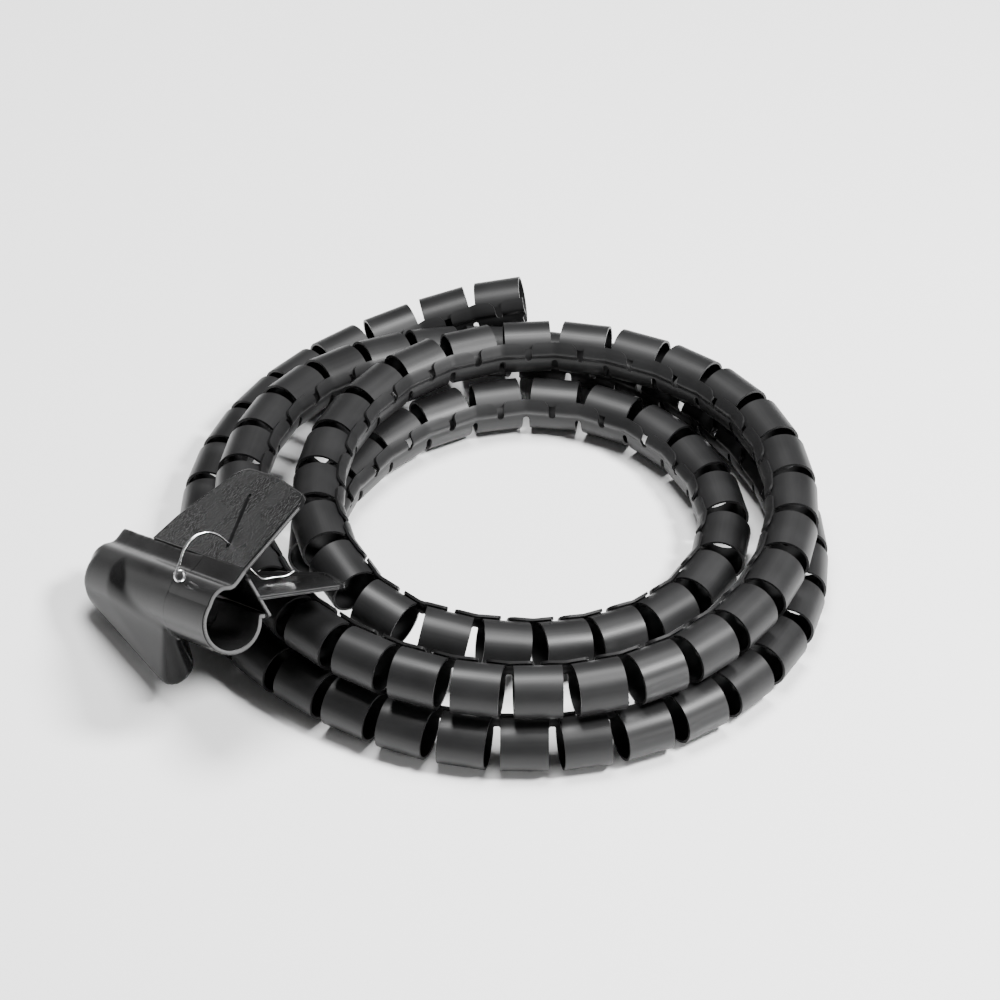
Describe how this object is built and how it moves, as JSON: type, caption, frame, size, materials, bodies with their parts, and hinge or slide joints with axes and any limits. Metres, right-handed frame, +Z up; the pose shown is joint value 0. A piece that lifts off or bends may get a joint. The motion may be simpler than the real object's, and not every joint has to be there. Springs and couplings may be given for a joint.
{
  "type": "slotted cable wrap with loading tool",
  "caption": "Coil of slotted round cable wrap whose ribs open sideways to take cables, with the sprung clip-shaped tool that opens the wrap and feeds the cables in.",
  "frame": {"origin": "centre of the overall box, on the floor the coil and the tool's lower end stand on", "axes": "+Z up, +X to the picture's right, +Y away from the picture's camera"},
  "size_m": [0.3593, 0.3322, 0.1122],
  "materials": {
    "sleeve": "matte charcoal black polyethylene",
    "clip": "semi-gloss black moulded plastic, grained on the clasp's wing",
    "spring": "bright drawn spring wire"
  },
  "bodies": {
    "wrap": {"cable_sleeve": "sleeve", "clip_clasp": "clip", "clip_spring": "spring"},
    "jaw": {"clip_jaw": "clip"}
  },
  "joints": [
    {"name": "jaw_hinge", "type": "hinge", "parent": "wrap", "child": "jaw", "pos_m": [-0.09604, -0.123, 0.08992], "axis": [0.4766, -0.751, 0.4571], "range_deg": [0, 30], "stiffness_Nm_per_rad": 0.08, "springref_deg": -22.92, "deforming": ["clip_spring"]}
  ]
}
